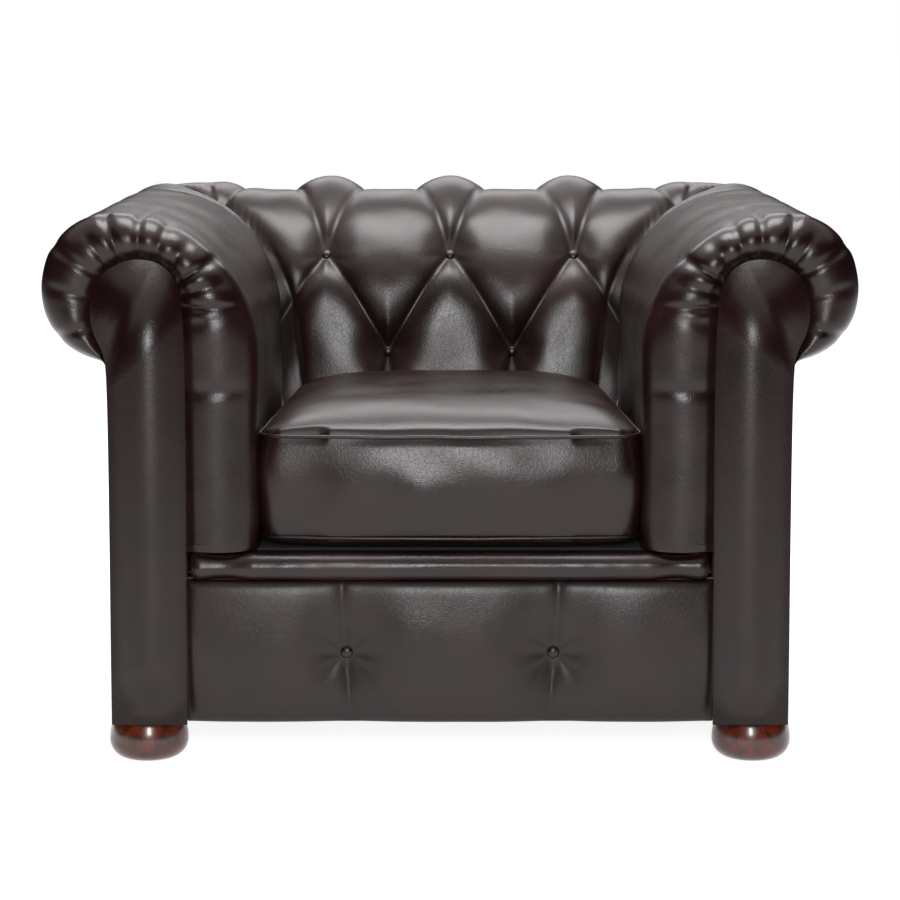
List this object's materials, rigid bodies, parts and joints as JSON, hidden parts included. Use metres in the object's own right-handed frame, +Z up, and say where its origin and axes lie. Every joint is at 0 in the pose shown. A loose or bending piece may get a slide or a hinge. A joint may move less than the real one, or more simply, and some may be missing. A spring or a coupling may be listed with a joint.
{
  "type": "chesterfield armchair",
  "caption": "Deep-buttoned leather armchair with rolled arms level with its back, a loose box cushion that lifts out, a panelled front border and bun feet.",
  "frame": {"origin": "on the floor, under the middle of the bounding box", "axes": "+Z up, -Y the way the sitter faces, +X to the left of a sitter"},
  "size_m": [1.05, 0.9009, 0.7258],
  "materials": {
    "frame_wood": "planed beech",
    "board_wood": "sanded plywood",
    "lining_board": "plain fibreboard",
    "steel": "zinc plated",
    "zip_metal": "aged",
    "hessian": "coarse woven",
    "webbing": "woven",
    "wadding": "soft",
    "foam": "cellular",
    "black_cloth": "thin woven",
    "leather_brown": "semi-gloss, fine grain",
    "foot_wood": "polished reddish brown",
    "glide_plastic": "matte"
  },
  "bodies": {
    "chair": {"front_seat_rail": "frame_wood", "rear_seat_rail": "frame_wood", "side_seat_rail_left": "frame_wood", "side_seat_rail_right": "frame_wood", "front_post_left": "frame_wood", "front_post_right": "frame_wood", "rear_post_left": "frame_wood", "rear_post_right": "frame_wood", "arm_top_rail_left": "frame_wood", "arm_top_rail_right": "frame_wood", "back_top_rail": "frame_wood", "corner_blocks": "frame_wood", "frame_dowels": "frame_wood", "arm_scroll_board_left": "board_wood", "arm_scroll_board_right": "board_wood", "border_board": "board_wood", "outside_arm_board_left": "lining_board", "outside_arm_board_right": "lining_board", "outside_back_board": "lining_board", "frame_screws": "steel", "seat_springs": "steel", "spring_clips": "steel", "foot_bolts": "steel", "tee_nuts": "steel", "spring_cover": "hessian", "arm_webbing_left": "webbing", "arm_webbing_right": "webbing", "back_webbing": "webbing", "deck_pad": "wadding", "back_pad": "wadding", "arm_pad_left": "wadding", "arm_pad_right": "wadding", "deck_cloth": "black_cloth", "dust_cover": "black_cloth", "inside_back_cover": "leather_brown", "inside_arm_cover_left": "leather_brown", "inside_arm_cover_right": "leather_brown", "arm_front_roll_left": "leather_brown", "arm_front_roll_right": "leather_brown", "arm_facing_left": "leather_brown", "arm_facing_right": "leather_brown", "outside_arm_cover_left": "leather_brown", "outside_arm_cover_right": "leather_brown", "outside_back_cover": "leather_brown", "front_lip": "leather_brown", "border_cover": "leather_brown", "back_buttons": "leather_brown", "border_buttons": "leather_brown", "foot_front_left": "foot_wood", "foot_front_right": "foot_wood", "foot_rear_left": "foot_wood", "foot_rear_right": "foot_wood", "foot_glides": "glide_plastic"},
    "seat_cushion": {"cushion_cover": "leather_brown", "cushion_core": "foam", "cushion_piping": "leather_brown", "cushion_zip": "zip_metal"},
    "slider": {"zip_slider": "zip_metal"}
  },
  "joints": [
    {"name": "cushion_lift", "type": "slide", "parent": "chair", "child": "seat_cushion", "axis": [0, 0, 1], "range_m": [0, 0.46]},
    {"name": "zip_slide", "type": "slide", "parent": "seat_cushion", "child": "slider", "axis": [1, 0, 0], "range_m": [0, 0.326]}
  ]
}
